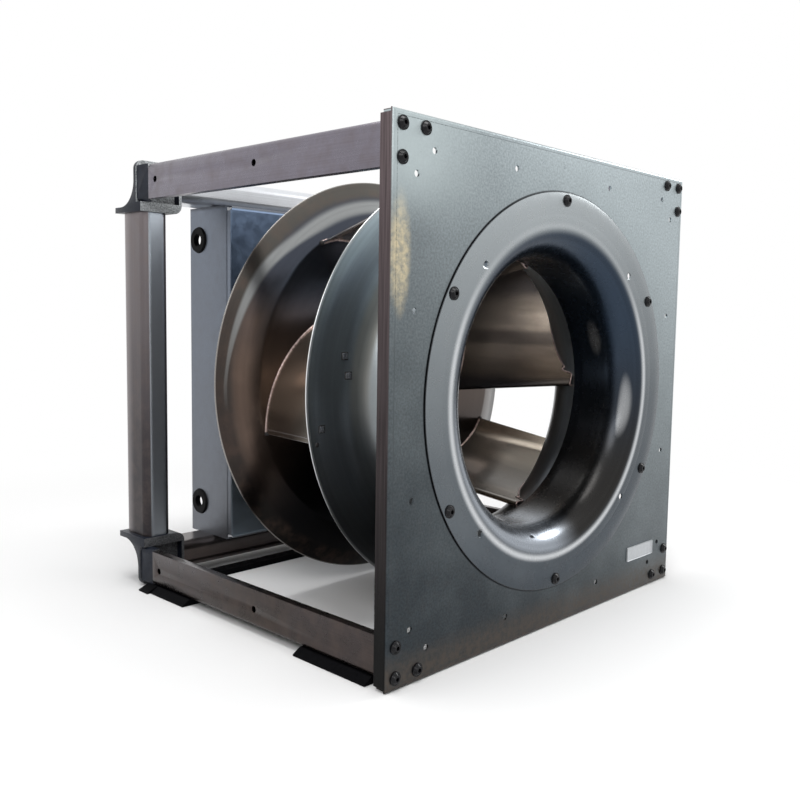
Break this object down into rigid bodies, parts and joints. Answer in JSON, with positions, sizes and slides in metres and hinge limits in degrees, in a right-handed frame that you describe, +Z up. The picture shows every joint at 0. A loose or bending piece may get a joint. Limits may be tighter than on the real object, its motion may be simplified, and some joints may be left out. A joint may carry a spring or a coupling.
{
  "type": "plug fan",
  "caption": "Plug fan: backward-curved impeller on an external-rotor motor behind a square plate with an inlet nozzle, in a frame of struts and tubes.",
  "frame": {"origin": "centre of the inlet, on the front face of the nozzle plate", "axes": "+X to the right seen from the inlet, +Y along the fan's axis with the air from the inlet to the back, +Z up"},
  "size_m": [0.716, 0.673, 0.7],
  "materials": {
    "galvanised_sheet": "galvanised, fine spangle",
    "pan_sheet": "galvanised, satin",
    "nozzle_sheet": "galvanised, satin, spun",
    "mill_aluminium": "mill finish",
    "tube_aluminium": "mill finish",
    "cast_black": "satin black",
    "rubber": "matt",
    "black_screws": "black oxide",
    "impeller_sheet": "galvanised, smooth",
    "motor_casting": "as cast",
    "copper": "enamelled wire",
    "magnet": "sintered",
    "board": "lacquered",
    "gland_plastic": "moulded",
    "stack_steel": "laminated",
    "bearing_steel": "ground"
  },
  "bodies": {
    "frame": {"bearing_outer_rings": "bearing_steel", "bracket_screws": "black_screws", "cable_glands": "gland_plastic", "control_board": "board", "corner_bracket_bottom_left": "cast_black", "corner_bracket_bottom_right": "cast_black", "corner_bracket_top_left": "cast_black", "corner_bracket_top_right": "cast_black", "corner_screws": "black_screws", "cover_screws": "black_screws", "cross_tube_bottom": "tube_aluminium", "cross_tube_top": "tube_aluminium", "electronics_cover": "motor_casting", "electronics_housing": "motor_casting", "foot_front_left": "rubber", "foot_front_right": "rubber", "foot_rear_left": "rubber", "foot_rear_right": "rubber", "grommet_bottom_left": "rubber", "grommet_bottom_right": "rubber", "grommet_top_left": "rubber", "grommet_top_right": "rubber", "inlet_nozzle": "nozzle_sheet", "motor_pan": "pan_sheet", "motor_screws": "black_screws", "nozzle_plate": "galvanised_sheet", "nozzle_screws": "black_screws", "pan_screws": "black_screws", "post_left": "tube_aluminium", "post_right": "tube_aluminium", "pressure_tap": "nozzle_sheet", "rear_bar": "rubber", "stator_housing": "motor_casting", "stator_stack": "stack_steel", "stator_windings": "copper", "strut_bottom_left": "mill_aluminium", "strut_bottom_right": "mill_aluminium", "strut_top_left": "mill_aluminium", "strut_top_right": "mill_aluminium"},
    "rotor": {"bearing_inner_rings": "bearing_steel", "blade_1": "impeller_sheet", "blade_2": "impeller_sheet", "blade_3": "impeller_sheet", "blade_4": "impeller_sheet", "blade_5": "impeller_sheet", "impeller_back_disc": "impeller_sheet", "impeller_shroud": "impeller_sheet", "rotor_cup": "motor_casting", "rotor_magnets": "magnet", "rotor_screws": "black_screws", "shaft": "bearing_steel"},
    "ball_cages": {"bearing_ball_cages": "bearing_steel"}
  },
  "joints": [
    {"name": "impeller_spin", "type": "hinge", "parent": "frame", "child": "rotor", "pos_m": [0, 0.365, 0], "axis": [0, 1, 0], "continuous": true},
    {"name": "cage_spin", "type": "hinge", "parent": "frame", "child": "ball_cages", "pos_m": [0, 0.407, 0], "axis": [0, 1, 0], "continuous": true}
  ],
  "couplings": [
    {"joint": "cage_spin", "follows": "impeller_spin", "ratio": 0.396}
  ]
}
